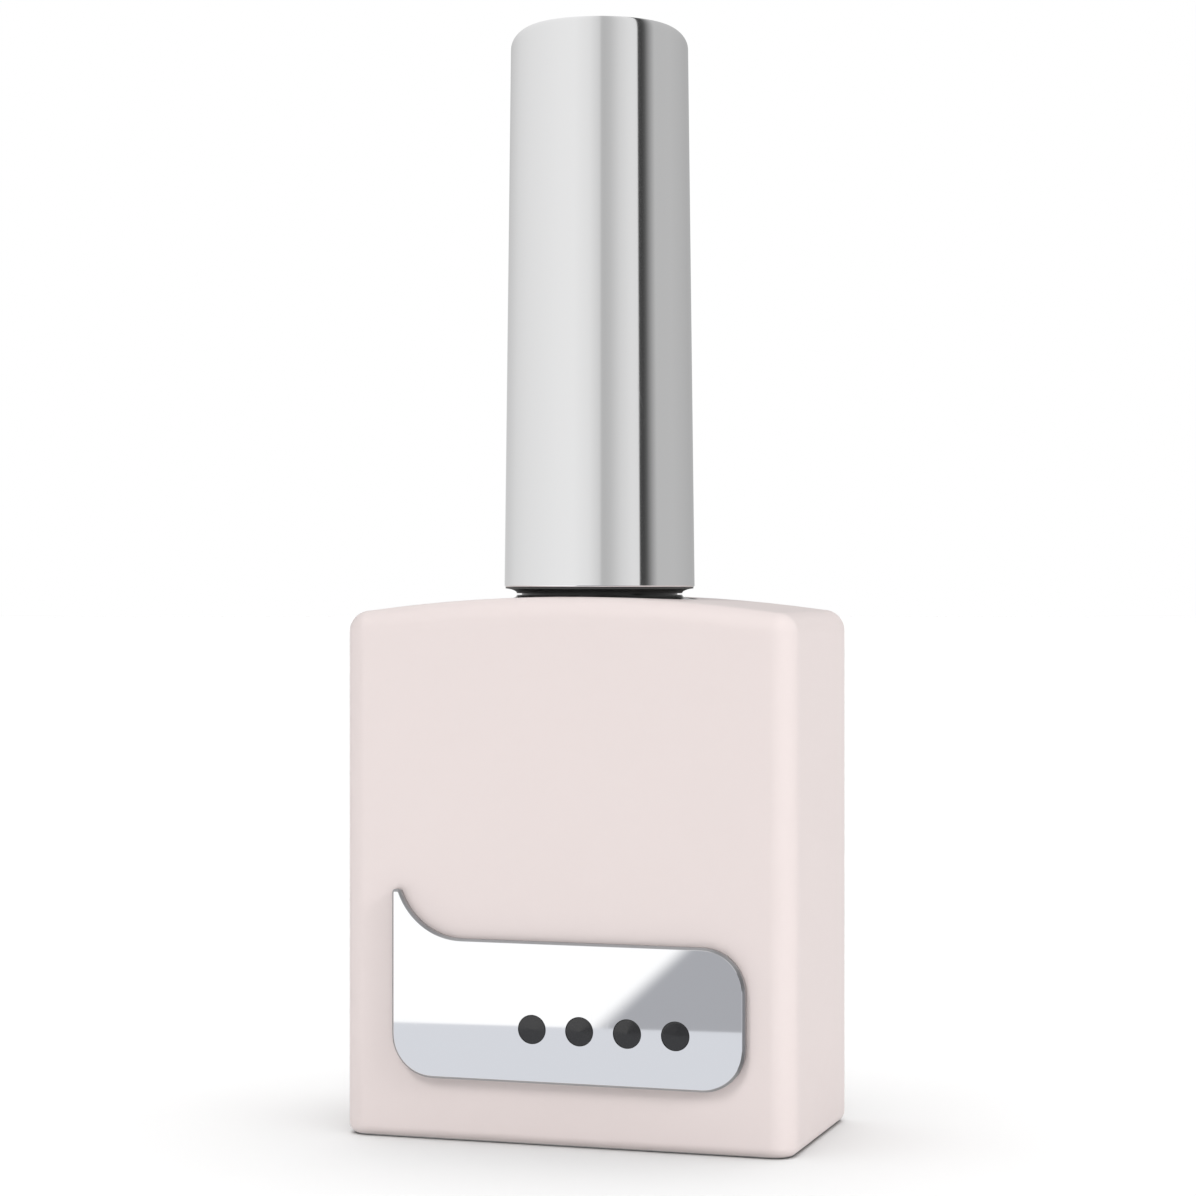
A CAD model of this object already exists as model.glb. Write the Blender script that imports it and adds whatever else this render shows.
import math

import bmesh
import bpy
import numpy as np
from bpy.props import FloatProperty, FloatVectorProperty, IntProperty, PointerProperty
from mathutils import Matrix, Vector


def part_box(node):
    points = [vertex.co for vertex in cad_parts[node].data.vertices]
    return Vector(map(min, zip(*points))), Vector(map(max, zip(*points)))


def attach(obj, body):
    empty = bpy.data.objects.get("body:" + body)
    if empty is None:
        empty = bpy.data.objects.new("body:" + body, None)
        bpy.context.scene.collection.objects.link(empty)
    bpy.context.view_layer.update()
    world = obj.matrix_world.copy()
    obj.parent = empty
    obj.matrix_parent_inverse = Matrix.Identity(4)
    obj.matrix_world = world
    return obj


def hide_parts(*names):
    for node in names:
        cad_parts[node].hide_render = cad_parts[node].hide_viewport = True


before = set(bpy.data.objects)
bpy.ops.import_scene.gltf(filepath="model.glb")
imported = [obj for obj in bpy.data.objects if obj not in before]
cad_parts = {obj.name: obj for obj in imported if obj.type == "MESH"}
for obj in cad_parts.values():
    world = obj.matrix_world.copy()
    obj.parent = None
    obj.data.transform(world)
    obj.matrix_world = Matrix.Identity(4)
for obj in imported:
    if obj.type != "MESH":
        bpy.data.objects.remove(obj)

bl_info = {
    "name": "Nail Polish Bottle",
    "version": (1, 0, 0),
    "blender": (4, 5, 0),
    "location": "View3D > Sidebar > Polish Bottle",
    "description": "Makes the visible pieces of a lacquered glass nail polish bottle with a brush cap",
    "category": "Object",
}

# Lengths are in metres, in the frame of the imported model: Z up, base on z = 0, name plate facing -Y.
MM = 0.001
SUPPORT = 0.04 * MM  # distance from a rounded edge to the extra ring that keeps its shading to itself
COAT_LOW, COAT_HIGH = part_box("colour_coat")
SHELL_LOW, SHELL_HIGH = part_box("cap_shell")
STEM_LOW, STEM_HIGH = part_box("brush_stem")
TUFT_LOW, TUFT_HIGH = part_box("bristle_tuft")
WASHER_LOW, WASHER_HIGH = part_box("sealing_washer")
WEIGHT_LOW, WEIGHT_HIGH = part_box("cap_weight")
PLATE_LOW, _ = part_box("plaque")
MARKS_LOW, MARKS_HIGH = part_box("plaque_marks")


# ---- settings a user would change ---------------------------------------------------------
def length(name, description, default):
    """A float property for a length in metres."""
    return FloatProperty(
        name=name, description=description, default=default, min=0.0, precision=5,
        unit="LENGTH", subtype="DISTANCE",
    )


def colour(name, description, default):
    """A linear colour property."""
    return FloatVectorProperty(
        name=name, description=description, default=default, size=3, min=0.0, max=1.0, subtype="COLOR"
    )


def share(name, description, default, maximum=1.0):
    """A plain number from nought to a maximum."""
    return FloatProperty(name=name, description=description, default=default, min=0.0, max=maximum)


def arc(name, description, degrees):
    """An angle property, given in degrees."""
    return FloatProperty(
        name=name, description=description, default=math.radians(degrees), subtype="ANGLE", unit="ROTATION"
    )


class BottleShape(bpy.types.PropertyGroup):
    """Sizes of the details that the frame's boxes don't give."""

    corner_radius: length("Corner radius", "Radius of the body's upright edges", 1.9 * MM)
    shoulder_edge: length("Shoulder edge", "Radius of the edge between side and shoulder", 1.7 * MM)
    base_edge: length("Base edge", "Radius of the edge round the base", 0.9 * MM)
    vault_radius: length("Vault radius", "Radius of the shoulder's curve from side to side", 125.0 * MM)
    neck_hole: length("Neck hole", "Radius at which the coat stops on the shoulder", 7.97 * MM)
    coat_thickness: length("Coat thickness", "Thickness of the lacquer skin", 0.2 * MM)
    shell_wall: length("Shell wall", "Wall thickness of the cap shell", 0.45 * MM)
    shell_top_radius: length("Shell shoulder radius", "Shell's radius where its top edge starts", 7.22 * MM)
    shell_top_edge: length("Shell top edge", "Radius of the shell's top edge", 1.8 * MM)
    shell_crown: length("Shell crown", "How far the top rises inside its edge", 0.25 * MM)
    stem_radius: length("Stem radius", "Radius of the brush stem at its foot", 1.6 * MM)
    stem_top_radius: length("Stem top radius", "Radius of the stem under its flange", 1.75 * MM)
    socket_radius: length("Tuft socket radius", "Radius of the hole that holds the tuft", 1.15 * MM)
    socket_depth: length("Tuft socket depth", "Depth of the hole that holds the tuft", 3.6 * MM)
    spigot_radius: length("Spigot radius", "Radius of the stem's push-in spigot", 2.6 * MM)
    spigot_length: length("Spigot length", "Length of the stem's push-in spigot", 5.6 * MM)
    flange_thickness: length("Flange thickness", "Thickness of the stem's flange", 1.0 * MM)
    washer_hole: length("Washer hole", "Radius of the hole in the washer", 2.1 * MM)
    dent_radius: length("Dent radius", "Middle radius of the lip's dent in the washer", 4.55 * MM)
    dent_width: length("Dent width", "Width of the lip's dent in the washer", 1.3 * MM)
    dent_depth: length("Dent depth", "Depth of the lip's dent in the washer", 0.05 * MM)
    weight_chamfer: length("Weight chamfer", "Chamfer at both ends of the steel weight", 0.6 * MM)
    weight_drill: length("Weight drill mark", "Radius and depth of the weight's centre marks", 0.5 * MM)
    filament_count: IntProperty(name="Filaments", description="Filaments in the tuft", default=320, min=20)
    filament_radius: length("Filament radius", "Radius of one filament", 0.05 * MM)
    tuft_half_width: length("Tuft half width", "Half the tuft's width where it is widest", 1.64 * MM)
    tuft_half_depth: length("Tuft half depth", "Half the tuft's depth at its end", 0.62 * MM)
    tuft_rounding: length("Tuft rounding", "How much higher the outermost filaments stop", 1.9 * MM)
    mark_count: IntProperty(name="Dots", description="Enamel dots on the plate", default=4, min=1)


class BottleFinish(bpy.types.PropertyGroup):
    """Colours of the bottle's finishes."""

    lacquer: colour("Lacquer", "Pale pink coat", (0.775, 0.69, 0.675))
    silver: colour("Silver", "Anodised cap shell", (0.86, 0.86, 0.86))
    plate: colour("Plate", "Mirror-polished name plate", (0.93, 0.935, 0.945))
    plate_edge: colour("Plate edge", "Cut bevel and sides of the plate", (0.40, 0.40, 0.41))
    enamel: colour("Enamel", "Dots on the plate", (0.012, 0.012, 0.013))
    glass: colour("Glass", "Black glass", (0.045, 0.046, 0.045))
    moulding: colour("Moulding", "Black plastic of the inner cap and stem", (0.062, 0.063, 0.062))
    washer: colour("Washer", "Natural polyethylene", (0.78, 0.78, 0.75))
    nylon: colour("Nylon", "Brush filaments", (0.035, 0.028, 0.026))
    label: colour("Label", "Blank base label", (0.84, 0.77, 0.75))


class StudioSettings(bpy.types.PropertyGroup):
    """Camera, floor and light."""

    azimuth: arc("Azimuth", "Turn of the camera from the front to the right", 17.5)
    distance: length("Distance", "From the bottle's axis to the camera", 244.7 * MM)
    height: length("Camera height", "Height of the level camera", 44.95 * MM)
    lens: FloatProperty(name="Lens", description="Focal length on a 36 mm sensor", default=90.3, min=1.0)
    shift_x: FloatProperty(name="Shift X", description="Camera shift to the side", default=-0.0013)
    shift_y: FloatProperty(name="Shift Y", description="Camera shift upwards", default=-0.0192)
    floor_radius: length("Floor radius", "Radius of the floor", 3.0)
    daylight: share("Daylight", "Strength of the white room", 0.48, 5.0)
    top: share("Top light", "Strength of the wide light over the floor", 4.0, 10.0)
    key: share("Key light", "Strength of the light from the front and above", 1.14, 10.0)
    side: share("Side light", "Strength of the light from the right", 1.38, 10.0)
    top_angle: arc("Top light width", "Angle across which the overhead light is spread", 80)
    side_angle: arc("Side light width", "Angle across which the key and side lights are spread", 20)


# ---- surfaces -----------------------------------------------------------------------------
def bezier(points, steps):
    """Points of a Bezier curve: control points weighted by the Bernstein polynomials of t."""
    points = np.asarray(points, float)
    degree = len(points) - 1
    t = np.linspace(0.0, 1.0, steps)[:, None]
    weights = [math.comb(degree, k) * t**k * (1 - t) ** (degree - k) for k in range(degree + 1)]
    return sum(weight * point for weight, point in zip(weights, points))


def spread(steps, margin=0.004):
    """Fractions from 0 to 1 with one extra stop close to each end, which keeps flat faces flat in shading."""
    return np.concatenate([[0.0], np.linspace(margin, 1.0 - margin, steps), [1.0]])


def rounded_path(corners, radii, steps=6):
    """Open path through corner points, each inner corner replaced by a circular arc of its own radius.

    The arc starts and ends r * tan(turn / 2) from the corner, and its points are the circle's
    centre plus r times the direction, which swings evenly from one tangent's normal to the other's.
    Straight stretches get an extra point close to each end.
    """
    corners = np.asarray(corners, float)
    pieces = [corners[:1]]
    for before, corner, after, radius in zip(corners[:-2], corners[1:-1], corners[2:], radii):
        inward = (corner - before) / np.linalg.norm(corner - before)
        outward = (after - corner) / np.linalg.norm(after - corner)
        cross = inward[0] * outward[1] - inward[1] * outward[0]
        turn = math.atan2(abs(cross), float(inward @ outward))
        if radius <= 0 or turn < 1e-6:
            pieces.append(corner[None])
            continue
        side = math.copysign(1.0, cross)
        normal = side * np.array([-inward[1], inward[0]])
        start = corner - inward * radius * math.tan(turn / 2)
        angles = np.linspace(0.0, turn, steps)[:, None]
        pieces.append(start + radius * (normal * (1 - np.cos(angles)) + inward * np.sin(angles)))
    pieces.append(corners[-1:])
    path = [pieces[0]]
    for piece in pieces[1:]:
        first, last = path[-1][-1], piece[0]
        gap = np.linalg.norm(last - first)
        if gap > 1e-9:
            near = min(0.3, SUPPORT / gap)
            path.append(first + (last - first) * np.array([[near], [1.0 - near]]))
        path.append(piece)
    return np.concatenate(path)


def grid_faces(rows, columns, close_rows=False, close_columns=False):
    """Quads between neighbouring points of a rows by columns grid, numbered row by row."""
    row = np.arange(rows if close_rows else rows - 1)
    column = np.arange(columns if close_columns else columns - 1)
    row, column = np.meshgrid(row, column, indexing="ij")
    next_row, next_column = (row + 1) % rows, (column + 1) % columns
    quads = [row * columns + column, row * columns + next_column,
             next_row * columns + next_column, next_row * columns + column]
    return np.stack(quads, -1).reshape(-1, 4)


def lathe(profile, segments, close_profile=False):
    """Surface of revolution: (r cos a, r sin a, z) for each profile point (r, z) and each turn a."""
    profile = np.asarray(profile, float)
    turn = np.linspace(0.0, math.tau, segments, endpoint=False)
    ring = np.stack([np.cos(turn), np.sin(turn)], -1)
    points = np.empty((len(profile), segments, 3))
    points[:, :, :2] = profile[:, None, :1] * ring
    points[:, :, 2] = profile[:, None, 1]
    faces = grid_faces(len(profile), segments, close_rows=close_profile, close_columns=True)
    return points.reshape(-1, 3), faces


def settle_mesh(mesh, merge, smooth_angle, turn_outward):
    """Merges a mesh's doubles, turns its faces outward if asked, and marks its sharp edges."""
    work = bmesh.new()
    work.from_mesh(mesh)
    bmesh.ops.remove_doubles(work, verts=work.verts, dist=merge)
    if turn_outward:
        bmesh.ops.recalc_face_normals(work, faces=work.faces)
    for face in work.faces:
        face.smooth = True
    for edge in work.edges:
        edge.smooth = edge.calc_face_angle(0.0) < smooth_angle
    work.to_mesh(mesh)
    work.free()
    return mesh


def new_mesh(name, surfaces, smooth_angle=math.radians(40)):
    """Mesh of one or more (points, faces) surfaces: doubles merged, faces outward, sharp edges marked."""
    counts = np.cumsum([0] + [len(points) for points, _ in surfaces])
    points = np.concatenate([points for points, _ in surfaces])
    faces = [face for start, (_, part) in zip(counts, surfaces) for face in (part + start).tolist()]
    mesh = bpy.data.meshes.new(name)
    mesh.from_pydata(points.tolist(), [], faces)
    return settle_mesh(mesh, 1e-8, smooth_angle, turn_outward=True)


def fair_mesh(name, node, smooth_angle=math.radians(30)):
    """Copy of a CAD node's mesh with its loose triangles joined and its sharp edges marked."""
    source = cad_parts[node].data
    points = np.empty(len(source.vertices) * 3)
    source.vertices.foreach_get("co", points)
    corners = np.empty(len(source.loops), int)
    source.loops.foreach_get("vertex_index", corners)
    mesh = bpy.data.meshes.new(name)
    mesh.from_pydata(points.reshape(-1, 3).tolist(), [], corners.reshape(-1, 3).tolist())
    return settle_mesh(mesh, 1e-6, smooth_angle, turn_outward=False)


def add_object(name, data):
    """Adds an object with the given mesh, light or camera to the scene."""
    added = bpy.data.objects.new(name, data)
    bpy.context.scene.collection.objects.link(added)
    return added


def place(name, mesh, material, body, stands_for):
    """Puts a finished mesh in the scene as a piece that rides on a body and stands for CAD nodes."""
    mesh.materials.append(material)
    piece = add_object(name, mesh)
    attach(piece, body)
    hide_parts(*stands_for)
    return piece


def weigh_normals(piece):
    """Lets large flat faces set the shading of their edges."""
    weights = piece.modifiers.new("face_weights", "WEIGHTED_NORMAL")
    weights.keep_sharp = True


def finish_node(node, material):
    """Gives a CAD node that stays its finished material."""
    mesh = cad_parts[node].data
    mesh.materials.clear()
    mesh.materials.append(material)


# ---- shared effects -----------------------------------------------------------------------
def new_group(name, inputs, outputs):
    """A shader node group with its two end nodes. Inputs are given by their defaults, and outputs by
    how many numbers they hold: one for a value, four for a colour."""
    group = bpy.data.node_groups.new(name, "ShaderNodeTree")
    kinds = {1: "NodeSocketFloat", 3: "NodeSocketVector", 4: "NodeSocketColor"}
    for label, default in inputs.items():
        made = group.interface.new_socket(name=label, in_out="INPUT", socket_type=kinds[np.size(default)])
        made.default_value = default
    for label, size in outputs.items():
        group.interface.new_socket(name=label, in_out="OUTPUT", socket_type=kinds[size])
    return group, group.nodes.new("NodeGroupInput"), group.nodes.new("NodeGroupOutput")


def math_node(tree, operation, first, second=None, third=None):
    """A Math node whose inputs are numbers or other nodes' outputs; returns its output."""
    node = tree.nodes.new("ShaderNodeMath")
    node.operation = operation
    for slot, value in zip(node.inputs, (first, second, third)):
        if value is None:
            continue
        if isinstance(value, bpy.types.NodeSocket):
            tree.links.new(value, slot)
        else:
            slot.default_value = value
    return node.outputs[0]


def map_range(tree, value, low, high, kind="LINEAR"):
    """A number that goes from nought to one as a value goes from low to high."""
    node = tree.nodes.new("ShaderNodeMapRange")
    node.interpolation_type = kind
    node.inputs["From Min"].default_value = low
    node.inputs["From Max"].default_value = high
    tree.links.new(value, node.inputs["Value"])
    return node.outputs[0]


def mix_colours(tree, amount, first, second):
    """A colour that goes from the first to the plain second as the amount rises."""
    node = tree.nodes.new("ShaderNodeMix")
    node.data_type = "RGBA"
    tree.links.new(amount, node.inputs["Factor"])
    if isinstance(first, bpy.types.NodeSocket):
        tree.links.new(first, node.inputs["A"])
    else:
        node.inputs["A"].default_value = (*first, 1.0)
    node.inputs["B"].default_value = (*second, 1.0)
    return node.outputs["Result"]


def noise_node(tree, where, detail, scale):
    """Noise over the piece's own coordinates, with its scale from another node."""
    node = tree.nodes.new("ShaderNodeTexNoise")
    node.inputs["Detail"].default_value = detail
    tree.links.new(where, node.inputs["Vector"])
    tree.links.new(scale, node.inputs["Scale"])
    return node


def own_place(tree):
    """X, Y and Z of the point being shaded, in the object's own coordinates."""
    where = tree.nodes.new("ShaderNodeTexCoord")
    parts = tree.nodes.new("ShaderNodeSeparateXYZ")
    tree.links.new(where.outputs["Object"], parts.inputs[0])
    return parts.outputs


def grain_group():
    """Soft unevenness: a stretched noise that shifts the colour and roughness, and a finer one as height."""
    if "surface_grain" in bpy.data.node_groups:
        return bpy.data.node_groups["surface_grain"]
    group, given, result = new_group(
        "surface_grain",
        {"Colour": (0.8, 0.8, 0.8, 1.0), "Colour Change": 0.02, "Roughness": 0.4, "Roughness Change": 0.05,
         "Cloud Scale": 120.0, "Grain Scale": 3000.0, "Stretch": (1.0, 1.0, 1.0)},
        {"Colour": 4, "Roughness": 1, "Height": 1},
    )
    nodes, links = group.nodes, group.links
    place_of = nodes.new("ShaderNodeTexCoord")
    stretched = nodes.new("ShaderNodeVectorMath")
    stretched.operation = "MULTIPLY"
    links.new(place_of.outputs["Object"], stretched.inputs[0])
    links.new(given.outputs["Stretch"], stretched.inputs[1])
    cloud = noise_node(group, stretched.outputs[0], 3.0, given.outputs["Cloud Scale"])
    grain = noise_node(group, stretched.outputs[0], 2.0, given.outputs["Grain Scale"])
    swing = math_node(group, "MULTIPLY_ADD", cloud.outputs["Fac"], 2.0, -1.0)
    gain = math_node(group, "MULTIPLY_ADD", swing, given.outputs["Colour Change"], 1.0)
    tinted = nodes.new("ShaderNodeVectorMath")
    tinted.operation = "SCALE"
    links.new(given.outputs["Colour"], tinted.inputs[0])
    links.new(gain, tinted.inputs["Scale"])
    mixed = math_node(group, "ADD", math_node(group, "MULTIPLY", swing, 0.6),
                      math_node(group, "MULTIPLY_ADD", grain.outputs["Fac"], 0.8, -0.4))
    rough = math_node(
        group, "MULTIPLY_ADD", mixed, given.outputs["Roughness Change"], given.outputs["Roughness"]
    )
    links.new(tinted.outputs[0], result.inputs["Colour"])
    links.new(rough, result.inputs["Roughness"])
    links.new(grain.outputs["Fac"], result.inputs["Height"])
    return group


def handling_group():
    """Marks of handling: faint smudges and sparse hair-fine scratches, as a rise in roughness."""
    if "handling_marks" in bpy.data.node_groups:
        return bpy.data.node_groups["handling_marks"]
    group, given, result = new_group(
        "handling_marks",
        {"Roughness": 0.2, "Smudge": 0.05, "Scratch": 0.05, "Scale": 90.0},
        {"Roughness": 1},
    )
    nodes, links = group.nodes, group.links
    place_of = nodes.new("ShaderNodeTexCoord")
    smudge = noise_node(group, place_of.outputs["Object"], 4.0, given.outputs["Scale"])
    smudge.inputs["Distortion"].default_value = 0.6
    patch = map_range(group, smudge.outputs["Fac"], 0.52, 0.75)
    lines = nodes.new("ShaderNodeTexWave")
    lines.inputs["Scale"].default_value = 260.0
    lines.inputs["Distortion"].default_value = 14.0
    lines.inputs["Detail"].default_value = 1.0
    lines.inputs["Detail Scale"].default_value = 0.35
    links.new(place_of.outputs["Object"], lines.inputs["Vector"])
    hair = map_range(group, lines.outputs["Fac"], 0.985, 1.0)
    scratch = math_node(group, "MULTIPLY", hair, patch)
    smudged = math_node(group, "MULTIPLY_ADD", patch, given.outputs["Smudge"], given.outputs["Roughness"])
    worn = math_node(group, "MULTIPLY_ADD", scratch, given.outputs["Scratch"], smudged)
    links.new(worn, result.inputs["Roughness"])
    return group


def finish_material(name, tint, roughness, change=(0.02, 0.05), scales=(120.0, 3000.0),
                    stretch=(1.0, 1.0, 1.0), bump=(0.1, 0.01 * MM), smudge=None, **sockets):
    """A Principled material with uneven colour, roughness and fine relief; other sockets stay constant.

    change: share by which the colour varies, and amount by which the roughness does.
    scales: how many clouds and how many grains there are to a metre, before the stretch.
    bump: strength and height of the relief. smudge: rise in roughness at smudges and at scratches.
    """
    material = bpy.data.materials.new(name)
    material.use_nodes = True
    tree = material.node_tree
    shader = tree.nodes["Principled BSDF"]
    grain = tree.nodes.new("ShaderNodeGroup")
    grain.node_tree = grain_group()
    given = ((*tint, 1.0), change[0], roughness, change[1], *scales, stretch)
    for entry, value in zip(grain.inputs, given):  # in the order that the group lists them
        entry.default_value = value
    tree.links.new(grain.outputs["Colour"], shader.inputs["Base Color"])
    rough = grain.outputs["Roughness"]
    if smudge:
        marks = tree.nodes.new("ShaderNodeGroup")
        marks.node_tree = handling_group()
        marks.inputs["Smudge"].default_value = smudge[0]
        marks.inputs["Scratch"].default_value = smudge[1]
        tree.links.new(rough, marks.inputs["Roughness"])
        rough = marks.outputs["Roughness"]
    tree.links.new(rough, shader.inputs["Roughness"])
    relief = tree.nodes.new("ShaderNodeBump")
    relief.inputs["Strength"].default_value = bump[0]
    relief.inputs["Distance"].default_value = bump[1]
    tree.links.new(grain.outputs["Height"], relief.inputs["Height"])
    tree.links.new(relief.outputs["Normal"], shader.inputs["Normal"])
    for key, value in sockets.items():
        shader.inputs[key.replace("_", " ")].default_value = value
    return material


# ---- materials ----------------------------------------------------------------------------
def pink_lacquer(finish):
    """Satin sprayed lacquer with a faint orange-peel relief."""
    return finish_material(
        "pink_lacquer", finish.lacquer, 0.36, change=(0.006, 0.05), scales=(60.0, 900.0),
        bump=(0.12, 0.02 * MM), smudge=(0.03, 0.05), Specular_IOR_Level=0.3,
    )


def silver_aluminium(finish):
    """Bright anodised aluminium with hair-fine lines drawn along the cap."""
    return finish_material(
        "silver_aluminium", finish.silver, 0.075, change=(0.008, 0.02), scales=(180.0, 2600.0),
        stretch=(1.0, 1.0, 0.03), bump=(0.03, 0.004 * MM), smudge=(0.012, 0.04), Metallic=1.0,
    )


def polished_plate(finish):
    """Mirror-polished metal with the faintest handling marks; its cut bevel and sides are duller."""
    material = finish_material(
        "polished_plate", finish.plate, 0.025, change=(0.004, 0.008), scales=(150.0, 1500.0),
        bump=(0.01, 0.003 * MM), smudge=(0.012, 0.05), Metallic=1.0,
    )
    tree = material.node_tree
    shader = tree.nodes["Principled BSDF"]
    face_tint = shader.inputs["Base Color"].links[0].from_socket
    face_rough = shader.inputs["Roughness"].links[0].from_socket
    behind = map_range(tree, own_place(tree)["Y"], PLATE_LOW.y + 0.01 * MM, PLATE_LOW.y + 0.03 * MM)
    tree.links.new(mix_colours(tree, behind, face_tint, finish.plate_edge), shader.inputs["Base Color"])
    tree.links.new(math_node(tree, "MULTIPLY_ADD", behind, 0.3, face_rough), shader.inputs["Roughness"])
    return material


def black_enamel(finish):
    """Glossy enamel fill."""
    return finish_material(
        "black_enamel", finish.enamel, 0.12, change=(0.1, 0.04), scales=(900.0, 4000.0),
        bump=(0.05, 0.004 * MM), Coat_Weight=0.3,
    )


def black_glass(finish):
    """Fire-polished black glass with slight ripples from the mould."""
    return finish_material(
        "black_glass", finish.glass, 0.07, change=(0.08, 0.03), scales=(140.0, 700.0), bump=(0.1, 0.02 * MM),
        smudge=(0.04, 0.08), IOR=1.52, Specular_IOR_Level=0.3,
    )


def black_moulding(finish):
    """Black polypropylene with the fine even texture of a spark-eroded mould."""
    return finish_material(
        "black_moulding", finish.moulding, 0.38, change=(0.12, 0.08), scales=(250.0, 5200.0),
        bump=(0.25, 0.006 * MM), smudge=(0.05, 0.1), Specular_IOR_Level=0.3,
    )


def washer_plastic(finish):
    """Natural polyethylene, slightly waxy."""
    return finish_material(
        "washer_plastic", finish.washer, 0.42, change=(0.03, 0.06), scales=(400.0, 4200.0),
        bump=(0.2, 0.006 * MM), Subsurface_Weight=0.15, Subsurface_Scale=0.4 * MM,
    )


def brush_nylon(finish):
    """Dark nylon filaments, lightly glossy, no two quite alike."""
    return finish_material(
        "brush_nylon", finish.nylon, 0.33, change=(0.35, 0.1), scales=(2600.0, 9000.0),
        stretch=(1.0, 1.0, 0.05), bump=(0.1, 0.004 * MM),
    )


def turned_steel():
    """Bright steel with rings left by the lathe tool."""
    return finish_material(
        "turned_steel", (0.56, 0.55, 0.54), 0.28, change=(0.05, 0.08), scales=(500.0, 4500.0),
        stretch=(0.03, 0.03, 1.0), bump=(0.35, 0.01 * MM), Metallic=1.0,
    )


def anchor_wire():
    """Flat aluminium wire."""
    return finish_material(
        "anchor_wire", (0.8, 0.8, 0.8), 0.25, change=(0.04, 0.06), scales=(900.0, 6000.0),
        stretch=(0.05, 1.0, 1.0), bump=(0.2, 0.005 * MM), Metallic=1.0,
    )


def foam_tape():
    """Pale acrylic foam tape seen as a thin line under the plate."""
    return finish_material(
        "foam_tape", (0.62, 0.6, 0.59), 0.6, change=(0.08, 0.1), scales=(800.0, 5200.0),
        bump=(0.4, 0.02 * MM),
    )


def label_paper(finish):
    """Coated paper with visible fibres."""
    return finish_material(
        "label_paper", finish.label, 0.55, change=(0.03, 0.1), scales=(900.0, 5200.0),
        stretch=(1.0, 0.35, 1.0), bump=(0.3, 0.008 * MM),
    )


# ---- shapes of the pieces -----------------------------------------------------------------
def coat_surface(shape, corner_steps=18, side_steps=16):
    """Lacquer skin as one closed surface: up the outside from the base edge, over the shoulder to the
    neck, down through the rim and back inside.

    Each column of the grid belongs to a point of the rounded rectangle, written as a corner centre
    plus a radius times a direction, so drawing the outline in only shortens that radius. Along the
    base and shoulder edges the radius and the height follow quarter circles. The shoulder is a
    barrel vault along Y, and there each column runs straight from the outline to the circle round
    the neck.
    """
    half = np.array([COAT_HIGH.x, COAT_HIGH.y]) - shape.corner_radius
    centres, directions = [], []
    signs = ((1, 1), (-1, 1), (-1, -1), (1, -1))
    for quarter, sign in enumerate(signs):
        angle = math.pi / 2 * (quarter + np.linspace(0.0, 1.0, corner_steps))
        centres.append(np.tile(half * sign, (corner_steps, 1)))
        directions.append(np.stack([np.cos(angle), np.sin(angle)], -1))
        along = spread(side_steps)[1:-1, None]
        centres.append(half * sign + (half * signs[(quarter + 1) % 4] - half * sign) * along)
        directions.append(np.tile(directions[-1][-1], (len(along), 1)))
    centres, directions = np.concatenate(centres), np.concatenate(directions)

    def outline(inset):
        return centres + (shape.corner_radius - inset) * directions

    def vault(plan, inset):
        centre = COAT_HIGH.z - shape.vault_radius
        return centre + np.sqrt((shape.vault_radius - inset) ** 2 - plan[:, 0] ** 2)

    def row(plan, height):
        return np.column_stack([plan, np.broadcast_to(height, len(plan))])

    def skin(inset):
        base, edge = shape.base_edge - inset, shape.shoulder_edge - inset
        rows = []
        lowest = math.asin(1.0 - COAT_LOW.z / base)
        for angle in np.linspace(lowest, 0.0, 12):
            rows.append(row(outline(inset + base * (1 - math.cos(angle))), base * (1 - math.sin(angle))))
        top_plan = outline(inset + edge)
        wall_top = vault(top_plan, inset) - edge
        for share_up in spread(10)[1:-1]:
            rows.append(row(outline(inset), base + (wall_top - base) * share_up))
        for angle in np.linspace(0.0, math.pi / 2, 16):
            height = wall_top + edge * math.sin(angle)
            rows.append(row(outline(inset + edge * (1 - math.cos(angle))), height))
        bearing = np.arctan2(top_plan[:, 1], top_plan[:, 0])
        neck = shape.neck_hole * np.stack([np.cos(bearing), np.sin(bearing)], -1)
        for share_in in spread(10)[1:]:
            plan = top_plan + (neck - top_plan) * share_in
            rows.append(row(plan, vault(plan, inset)))
        return rows

    points = np.array(skin(0.0) + skin(shape.coat_thickness)[::-1])
    faces = grid_faces(*points.shape[:2], close_rows=True, close_columns=True)
    return points.reshape(-1, 3), faces


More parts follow.
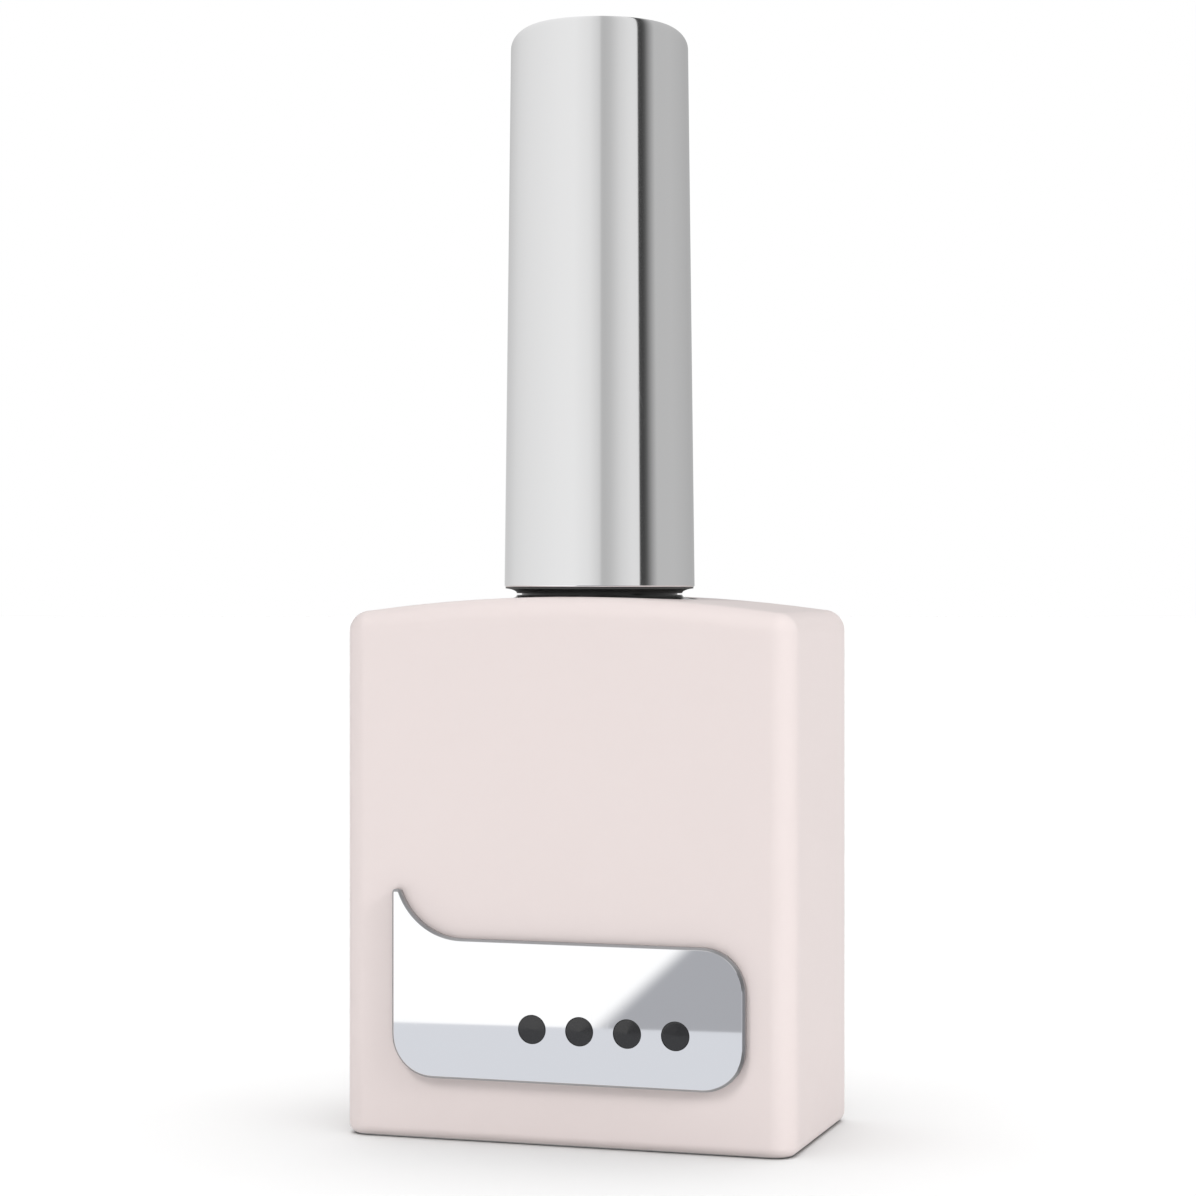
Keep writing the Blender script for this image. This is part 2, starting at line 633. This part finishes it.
def shell_surface(shape, segments=224):
    """Cap shell: a thin tapered cup upside down, turned from its inner and outer profiles.

    The top edge is a cubic Bezier curve from the tapered side to the crown, and the crown a quadratic
    one up to the axis. The inner profile is the outer one moved inwards along its normals.
    """
    foot, top = SHELL_LOW.z, SHELL_HIGH.z
    foot_radius = SHELL_HIGH.x
    edge = shape.shell_top_edge
    shoulder = np.array([shape.shell_top_radius, top - shape.shell_crown - edge])
    taper = (foot_radius - shape.shell_top_radius) / (shoulder[1] - foot)
    land = np.array([shape.shell_top_radius - edge, top - shape.shell_crown])
    crown_slope = shape.shell_crown / (0.5 * land[0])
    side_pull, top_pull = 0.56 * edge, 0.45 * edge
    side_handle = shoulder + (-taper * side_pull, side_pull)
    top_handle = land + (top_pull, -crown_slope * top_pull)
    turn_in = bezier([shoulder, side_handle, top_handle, land], 18)
    crown = bezier([land, (0.5 * land[0], top), (0.0, top)], 12)
    outer = np.concatenate([turn_in, crown[1:]])
    tangent = np.gradient(outer, axis=0)
    normal = np.stack([tangent[:, 1], -tangent[:, 0]], -1)
    normal /= np.linalg.norm(normal, axis=1)[:, None]
    inner = outer - shape.shell_wall * normal
    inner[-1, 0] = 0.0
    wall = shape.shell_wall * math.hypot(1.0, taper)
    rim = rounded_path(
        [inner[0], (foot_radius - wall, foot), (foot_radius, foot), outer[0]],
        [0.35 * shape.shell_wall, 0.35 * shape.shell_wall],
    )
    profile = np.concatenate([inner[::-1], rim[1:-1], outer])
    return lathe(profile, segments)


def stem_surface(shape, segments=96):
    """Brush stem turned about its axis: tuft socket, tapered rod, flange and push-in spigot."""
    foot, top = STEM_LOW.z, STEM_HIGH.z
    flange_top = top - shape.spigot_length
    flange_foot = flange_top - shape.flange_thickness
    socket_top = foot + shape.socket_depth
    profile = rounded_path(
        [
            (0.0, socket_top), (shape.socket_radius, socket_top), (shape.socket_radius, foot),
            (shape.stem_radius, foot), (shape.stem_top_radius, flange_foot), (STEM_HIGH.x, flange_foot),
            (STEM_HIGH.x, flange_top), (shape.spigot_radius, flange_top), (shape.spigot_radius, top),
            (0.0, top),
        ],
        np.array([0.0, 0.08, 0.14, 0.3, 0.15, 0.15, 0.2, 0.3]) * MM,
    )
    return lathe(profile, segments)


def washer_surface(shape, segments=96):
    """Flat washer with rounded edges and the shallow ring that the lip presses into it."""
    foot, top, rim = WASHER_LOW.z, WASHER_HIGH.z, WASHER_HIGH.x
    hole = shape.washer_hole
    dented = foot + shape.dent_depth
    slope = 0.2 * MM  # how far the dent's sides run from the face to its floor
    inside = shape.dent_radius - 0.5 * shape.dent_width
    outside = shape.dent_radius + 0.5 * shape.dent_width
    profile = rounded_path(
        [
            (hole, 0.5 * (foot + top)), (hole, foot), (inside, foot), (inside + slope, dented),
            (outside - slope, dented), (outside, foot), (rim, foot), (rim, top), (hole, top),
            (hole, 0.5 * (foot + top)),
        ],
        np.array([0.1, 0.1, 0.1, 0.1, 0.1, 0.12, 0.15, 0.1]) * MM,
    )
    return lathe(profile[:-1], segments, close_profile=True)


def weight_surface(shape, segments=96):
    """Steel slug turned about its axis, with chamfered ends and a centre-drill mark at each end."""
    foot, top, rim = WEIGHT_LOW.z, WEIGHT_HIGH.z, WEIGHT_HIGH.x
    chamfer, drill = shape.weight_chamfer, shape.weight_drill
    profile = rounded_path(
        [
            (0.0, foot + drill), (drill, foot), (rim - chamfer, foot), (rim, foot + chamfer),
            (rim, top - chamfer), (rim - chamfer, top), (drill, top), (0.0, top - drill),
        ],
        np.array([0.05, 0.08, 0.08, 0.08, 0.08, 0.05]) * MM,
    )
    return lathe(profile, segments)


def mark_surfaces(shape, segments=64):
    """Enamel dots: flat pills with a rounded rim, turned about -Y and set in a row across the plate."""
    front, back = MARKS_LOW.y, MARKS_HIGH.y
    radius = 0.5 * (MARKS_HIGH.z - MARKS_LOW.z)
    height = 0.5 * (MARKS_HIGH.z + MARKS_LOW.z)
    depth = back - front
    dome = 0.03 * MM  # rise of the dot's face from its rim to its middle
    profile = rounded_path(
        [(0.0, 0.0), (radius, 0.0), (radius, depth - dome), (0.0, depth)], np.array([0.02, 0.09]) * MM
    )
    disc, faces = lathe(profile, segments)
    across = np.linspace(MARKS_LOW.x + radius, MARKS_HIGH.x - radius, shape.mark_count)
    turned = np.stack([disc[:, 0], back - disc[:, 2], disc[:, 1] + height], -1)
    return [(turned + (x, 0.0, 0.0), faces) for x in across]


def tuft_surface(shape, stops=11, sides=5):
    """Brush tuft: filaments packed by the sunflower rule, as tapered five-sided tubes.

    Filament k sits at the golden angle times k and at the square root of its share of the bundle.
    Going down, the bundle swells from the round socket to a flat oval, and its end is rounded, so
    the outer filaments stop higher.
    """
    grip, ragged, straying = 2.0 * MM, 0.22 * MM, 0.03 * MM  # hold in the socket, end to end, sideways
    random = np.random.default_rng(11)
    count = shape.filament_count
    share_out = np.sqrt((np.arange(count) + 0.5) / count)
    bearing = np.arange(count) * math.pi * (3 - math.sqrt(5))
    spot = np.stack([share_out * np.cos(bearing), share_out * np.sin(bearing)], -1)
    spot += random.normal(0.0, 0.02, spot.shape)
    spot /= np.maximum(1.0, np.linalg.norm(spot, axis=1))[:, None]
    dome = np.sqrt(np.clip(1 - 0.85 * spot[:, 0] ** 2 - 0.15 * spot[:, 1] ** 2, 0, 1))
    rise = shape.tuft_rounding * (1 - dome)
    end = TUFT_LOW.z + 0.03 * MM + rise + random.uniform(0.0, ragged, count)
    start = STEM_LOW.z + grip
    t = np.linspace(0.0, 1.0, stops)
    height = start + (end[:, None] - start) * t
    way = np.clip((STEM_LOW.z - height) / (STEM_LOW.z - TUFT_LOW.z), 0.0, 1.0)
    swell = np.sin(math.pi * way * 0.62) ** 0.8
    packed = shape.socket_radius - 1.6 * shape.filament_radius
    half_width = packed + (shape.tuft_half_width - packed) * swell
    half_depth = packed + (shape.tuft_half_depth - packed) * way**0.7
    wander = random.normal(0.0, straying, (count, 1, 2)) * (t**2)[None, :, None]
    axis = np.stack([spot[:, :1] * half_width, spot[:, 1:] * half_depth], -1) + wander
    limit = np.array([TUFT_HIGH.x, TUFT_HIGH.y]) - 2 * shape.filament_radius
    axis = np.clip(axis, -limit, limit)
    taper = np.interp(t, [0.0, 0.001, 0.8, 0.99, 1.0], [0.0, 1.0, 1.0, 0.45, 0.0])
    thickness = shape.filament_radius * taper
    around = np.linspace(0.0, math.tau, sides, endpoint=False)
    ring = np.stack([np.cos(around), np.sin(around)], -1)
    points = np.empty((count, stops, sides, 3))
    points[..., :2] = axis[:, :, None, :] + thickness[None, :, None, None] * ring
    points[..., 2] = height[:, :, None]
    faces = grid_faces(stops, sides, close_columns=True)
    first = np.arange(count)[:, None, None] * stops * sides
    return points.reshape(-1, 3), (faces[None] + first).reshape(-1, 4)


# ---- stage --------------------------------------------------------------------------------
# Brightness of the room as a mirror sees it, by degrees to the right of the camera: a broad soft
# window on the left, a grey wall behind the camera, a pale wall, a narrow black flag and a grey wall.
ROOM = (
    (-180, 0.50), (-156, 0.62), (-141, 0.69), (-125, 0.77), (-102, 0.83), (-75, 0.87), (-53, 0.90),
    (-32, 0.91), (-13, 0.84), (-3, 0.73), (1.0, 0.67), (1.8, 0.53), (6.5, 0.52), (13, 0.56), (26, 0.72),
    (39, 0.81), (49.5, 0.82), (50.5, 0.06), (56, 0.06), (60, 0.11), (67, 0.33), (75, 0.54), (102, 0.545),
    (125, 0.51), (146, 0.47), (180, 0.45),
)


def studio_world(studio, shape):
    """White room for the lens and for soft light; mirrors and gloss see its walls, window and flag.

    The walls are hung so that a mirrored cylinder with a rounded top edge shows them as upright
    stripes. A ray's half vector with the direction to the camera is the mirror's normal. Its sine
    across the view, times the edge's radius there over the cylinder's, is the sine of half the
    bearing at which the wall is looked up.
    """
    world = bpy.data.worlds.new("studio")
    bpy.context.scene.world = world
    world.use_nodes = True
    tree = world.node_tree
    nodes, links = tree.nodes, tree.links
    nodes.clear()
    direction = nodes.new("ShaderNodeTexCoord")
    rise = math.atan2(SHELL_HIGH.z - studio.height, studio.distance)
    to_camera = (
        math.sin(studio.azimuth) * math.cos(rise), -math.cos(studio.azimuth) * math.cos(rise), -math.sin(rise)
    )
    summed = nodes.new("ShaderNodeVectorMath")
    summed.operation = "ADD"
    summed.inputs[1].default_value = to_camera
    links.new(direction.outputs["Generated"], summed.inputs[0])
    normal = nodes.new("ShaderNodeVectorMath")
    normal.operation = "NORMALIZE"
    links.new(summed.outputs[0], normal.inputs[0])
    parts = nodes.new("ShaderNodeSeparateXYZ")
    links.new(normal.outputs[0], parts.inputs[0])
    across = nodes.new("ShaderNodeVectorMath")
    across.operation = "DOT_PRODUCT"
    across.inputs[1].default_value = (math.cos(studio.azimuth), math.sin(studio.azimuth), 0.0)
    links.new(normal.outputs[0], across.inputs[0])
    height_squared = math_node(tree, "POWER", parts.outputs["Z"], 2.0)
    level = math_node(tree, "SQRT", math_node(tree, "SUBTRACT", 1.0, height_squared))
    edge_share = shape.shell_top_edge / shape.shell_top_radius
    reach = math_node(tree, "ADD", math_node(tree, "DIVIDE", 1.0 - edge_share, level), edge_share)
    sine = math_node(tree, "MULTIPLY", across.outputs["Value"], reach)
    held = math_node(tree, "MAXIMUM", math_node(tree, "MINIMUM", sine, 1.0), -1.0)
    half_turn = math_node(tree, "ARCSINE", held)
    walls = nodes.new("ShaderNodeValToRGB")
    links.new(math_node(tree, "MULTIPLY_ADD", half_turn, 1.0 / math.pi, 0.5), walls.inputs["Fac"])
    stops = walls.color_ramp.elements
    for _ in range(len(ROOM) - 2):
        stops.new(0.5)
    for stop, (degrees, brightness) in zip(stops, ROOM):
        stop.position = degrees / 360.0 + 0.5
        stop.color = (brightness, brightness, brightness * 1.004, 1.0)
    ray = nodes.new("ShaderNodeLightPath")
    white = nodes.new("ShaderNodeBackground")
    white.inputs["Color"].default_value = (1.0, 1.0, 1.0, 1.0)
    seen = math_node(tree, "MAXIMUM", ray.outputs["Is Camera Ray"], studio.daylight)
    links.new(seen, white.inputs["Strength"])
    room = nodes.new("ShaderNodeBackground")
    links.new(walls.outputs["Color"], room.inputs["Color"])
    pick = nodes.new("ShaderNodeMixShader")
    links.new(ray.outputs["Is Glossy Ray"], pick.inputs["Fac"])
    links.new(white.outputs[0], pick.inputs[1])
    links.new(room.outputs[0], pick.inputs[2])
    output = nodes.new("ShaderNodeOutputWorld")
    links.new(pick.outputs[0], output.inputs["Surface"])


def soft_light(name, strength, towards, width, floor, state):
    """Soft light from a direction, spread over an angle, that mirrors don't show. Its state says
    whether it lights only the floor (INCLUDE) or everything but the floor (EXCLUDE)."""
    light = bpy.data.lights.new(name, "SUN")
    light.energy = strength
    light.angle = width
    sun = add_object(name, light)
    sun.rotation_euler = Vector(towards).to_track_quat("Z", "Y").to_euler()
    sun.visible_glossy = False
    lit = bpy.data.collections.new(name + "_receivers")
    lit.objects.link(floor)
    lit.collection_objects[0].light_linking.link_state = state
    sun.light_linking.receiver_collection = lit


def studio_floor(studio):
    """Round floor as rings of points about the bottle, closer together near it. The lights make it
    pure white to the lens, and mirrors look through it to the room."""
    radii = studio.floor_radius * np.linspace(0.0, 1.0, 6) ** 2
    mesh = new_mesh("floor", [lathe(np.column_stack([radii, np.zeros(len(radii))]), 64)])
    if mesh.polygons[0].normal.z < 0:
        mesh.flip_normals()
    material = bpy.data.materials.new("white_floor")
    material.use_nodes = True
    shader = material.node_tree.nodes["Principled BSDF"]
    shader.inputs["Base Color"].default_value = (0.6, 0.6, 0.6, 1.0)
    shader.inputs["Roughness"].default_value = 0.9
    shader.inputs["Specular IOR Level"].default_value = 0.0
    mesh.materials.append(material)
    floor = add_object("floor", mesh)
    floor.visible_glossy = False
    return floor


def plate_card():
    """Card lying before the bottle that only reflections see: white far off on the left, grey on the
    right of a soft slanted edge, and light grey in the strip nearest the bottle."""
    side, far, near_edge, height = 300 * MM, -400 * MM, -20 * MM, 0.4 * MM
    corners = [(-side, far), (side, far), (side, near_edge), (-side, near_edge)]
    mesh = bpy.data.meshes.new("plate_card")
    mesh.from_pydata([(x, y, height) for x, y in corners], [], [(0, 1, 2, 3)])
    material = bpy.data.materials.new("plate_card")
    material.use_nodes = True
    tree = material.node_tree
    nodes, links = tree.nodes, tree.links
    nodes.clear()
    place_on = own_place(tree)
    near_point, far_point, softness = (-15.5 * MM, -71.1 * MM), (-24.1 * MM, -131.1 * MM), 1.6 * MM
    lean = (near_point[0] - far_point[0]) / (near_point[1] - far_point[1])
    edge_at = near_point[0] - lean * near_point[1]
    slant = math_node(tree, "MULTIPLY_ADD", place_on["Y"], -lean, place_on["X"])
    right = map_range(tree, slant, edge_at - softness, edge_at + softness, "SMOOTHSTEP")
    back = mix_colours(tree, right, (1.08, 1.08, 1.08), (0.41, 0.415, 0.44))
    strip_edge, strip_slope, strip_softness = -70.5 * MM, -0.108, 0.5 * MM
    strip_line = math_node(tree, "MULTIPLY_ADD", place_on["X"], -strip_slope, place_on["Y"])
    near = map_range(tree, strip_line, strip_edge - strip_softness, strip_edge + strip_softness)
    glow = nodes.new("ShaderNodeEmission")
    links.new(mix_colours(tree, near, back, (0.705, 0.72, 0.76)), glow.inputs["Color"])
    output = nodes.new("ShaderNodeOutputMaterial")
    links.new(glow.outputs[0], output.inputs["Surface"])
    mesh.materials.append(material)
    card = add_object("plate_card", mesh)
    card.visible_camera = False
    card.visible_diffuse = False
    card.visible_shadow = False
    card.visible_transmission = False


def studio_camera(studio):
    """Level camera to the right of the bottle's front."""
    lens = bpy.data.cameras.new("camera")
    lens.sensor_width = 36.0
    lens.lens = studio.lens
    lens.shift_x = studio.shift_x
    lens.shift_y = studio.shift_y
    lens.clip_start = 10 * MM
    camera = add_object("camera", lens)
    camera.location = (
        studio.distance * math.sin(studio.azimuth),
        -studio.distance * math.cos(studio.azimuth),
        studio.height,
    )
    camera.rotation_euler = (math.pi / 2, 0.0, studio.azimuth)
    bpy.context.scene.camera = camera


# ---- operators ----------------------------------------------------------------------------
class MakeGlass(bpy.types.Operator):
    """Black glass bottle with its threaded neck"""

    bl_idname = "polish_bottle.make_glass"
    bl_label = "Glass bottle"

    def execute(self, context):
        glass = black_glass(context.scene.bottle_finish)
        mesh = fair_mesh("bottle_glass", "glass_bottle")
        piece = place("bottle_glass", mesh, glass, "bottle", ["glass_bottle"])
        weigh_normals(piece)
        return {"FINISHED"}


class MakeCoat(bpy.types.Operator):
    """Pale pink lacquer skin over the glass"""

    bl_idname = "polish_bottle.make_coat"
    bl_label = "Colour coat"

    def execute(self, context):
        lacquer = pink_lacquer(context.scene.bottle_finish)
        mesh = new_mesh("lacquer_coat", [coat_surface(context.scene.bottle_shape)])
        place("lacquer_coat", mesh, lacquer, "bottle", ["colour_coat"])
        return {"FINISHED"}


class MakePlate(bpy.types.Operator):
    """Polished name plate with its tape and enamel dots"""

    bl_idname = "polish_bottle.make_plate"
    bl_label = "Name plate"

    def execute(self, context):
        finish = context.scene.bottle_finish
        mesh = fair_mesh("name_plate", "plaque")
        piece = place("name_plate", mesh, polished_plate(finish), "bottle", ["plaque"])
        weigh_normals(piece)
        dots = new_mesh("enamel_dots", mark_surfaces(context.scene.bottle_shape))
        place("enamel_dots", dots, black_enamel(finish), "bottle", ["plaque_marks"])
        finish_node("plaque_adhesive", foam_tape())
        return {"FINISHED"}


class MakeLabel(bpy.types.Operator):
    """Blank label under the base"""

    bl_idname = "polish_bottle.make_label"
    bl_label = "Base label"

    def execute(self, context):
        finish_node("base_label", label_paper(context.scene.bottle_finish))
        return {"FINISHED"}


class MakeShell(bpy.types.Operator):
    """Silver cap shell"""

    bl_idname = "polish_bottle.make_shell"
    bl_label = "Cap shell"

    def execute(self, context):
        silver = silver_aluminium(context.scene.bottle_finish)
        mesh = new_mesh("silver_shell", [shell_surface(context.scene.bottle_shape)])
        place("silver_shell", mesh, silver, "cap", ["cap_shell"])
        return {"FINISHED"}


class MakeInnerCap(bpy.types.Operator):
    """Black threaded inner cap"""

    bl_idname = "polish_bottle.make_inner_cap"
    bl_label = "Inner cap"

    def execute(self, context):
        moulding = black_moulding(context.scene.bottle_finish)
        mesh = fair_mesh("cap_liner", "inner_cap")
        piece = place("cap_liner", mesh, moulding, "cap", ["inner_cap"])
        weigh_normals(piece)
        return {"FINISHED"}


class MakeBrush(bpy.types.Operator):
    """Brush stem, filament tuft and its anchor wire"""

    bl_idname = "polish_bottle.make_brush"
    bl_label = "Brush"

    def execute(self, context):
        shape, finish = context.scene.bottle_shape, context.scene.bottle_finish
        stem = new_mesh("stem", [stem_surface(shape)])
        place("stem", stem, black_moulding(finish), "cap", ["brush_stem"])
        tuft = new_mesh("filament_tuft", [tuft_surface(shape)], smooth_angle=math.radians(100))
        place("filament_tuft", tuft, brush_nylon(finish), "cap", ["bristle_tuft"])
        finish_node("bristle_anchor", anchor_wire())
        return {"FINISHED"}


class MakeWasher(bpy.types.Operator):
    """Sealing washer on the lip"""

    bl_idname = "polish_bottle.make_washer"
    bl_label = "Sealing washer"

    def execute(self, context):
        mesh = new_mesh("lip_washer", [washer_surface(context.scene.bottle_shape)])
        plastic = washer_plastic(context.scene.bottle_finish)
        place("lip_washer", mesh, plastic, "washer", ["sealing_washer"])
        return {"FINISHED"}


class MakeWeight(bpy.types.Operator):
    """Steel weight hidden in the cap"""

    bl_idname = "polish_bottle.make_weight"
    bl_label = "Cap weight"

    def execute(self, context):
        mesh = new_mesh("steel_slug", [weight_surface(context.scene.bottle_shape)])
        place("steel_slug", mesh, turned_steel(), "weight", ["cap_weight"])
        return {"FINISHED"}


class MakeStage(bpy.types.Operator):
    """Floor, room light, reflection card and camera"""

    bl_idname = "polish_bottle.make_stage"
    bl_label = "Stage"

    def execute(self, context):
        studio = context.scene.bottle_studio
        studio_camera(studio)
        studio_world(studio, context.scene.bottle_shape)
        floor = studio_floor(studio)
        soft_light("top_light", studio.top, (0.0, 0.0, 1.0), studio.top_angle, floor, "INCLUDE")
        soft_light("key_light", studio.key, (-0.2, -0.62, 0.76), studio.side_angle, floor, "EXCLUDE")
        soft_light("side_light", studio.side, (0.86, -0.2, 0.48), studio.side_angle, floor, "EXCLUDE")
        plate_card()
        context.scene.view_settings.view_transform = "Standard"
        return {"FINISHED"}


OPERATORS = (
    MakeGlass, MakeCoat, MakePlate, MakeLabel, MakeShell, MakeInnerCap, MakeBrush, MakeWasher, MakeWeight,
    MakeStage,
)


class BottlePanel(bpy.types.Panel):
    """Buttons for each piece and the settings that shape it"""

    bl_idname = "VIEW3D_PT_polish_bottle"
    bl_label = "Nail Polish Bottle"
    bl_space_type = "VIEW_3D"
    bl_region_type = "UI"
    bl_category = "Polish Bottle"

    def draw(self, context):
        layout = self.layout
        for operator in OPERATORS:
            layout.operator(operator.bl_idname)
        for group in (context.scene.bottle_shape, context.scene.bottle_finish, context.scene.bottle_studio):
            box = layout.box()
            for name in group.__annotations__:
                box.prop(group, name)


CLASSES = (BottleShape, BottleFinish, StudioSettings, *OPERATORS, BottlePanel)


def register():
    """Registers the classes and hangs the settings on the scene."""
    for made in CLASSES:
        bpy.utils.register_class(made)
    bpy.types.Scene.bottle_shape = PointerProperty(type=BottleShape)
    bpy.types.Scene.bottle_finish = PointerProperty(type=BottleFinish)
    bpy.types.Scene.bottle_studio = PointerProperty(type=StudioSettings)


def unregister():
    """Takes the settings and classes away again."""
    del bpy.types.Scene.bottle_studio
    del bpy.types.Scene.bottle_finish
    del bpy.types.Scene.bottle_shape
    for made in reversed(CLASSES):
        bpy.utils.unregister_class(made)


def main():
    """Makes every piece and the stage."""
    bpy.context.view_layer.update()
    register()
    for operator in OPERATORS:
        family, action = operator.bl_idname.split(".")
        getattr(getattr(bpy.ops, family), action)()


if __name__ == "__main__":
    main()
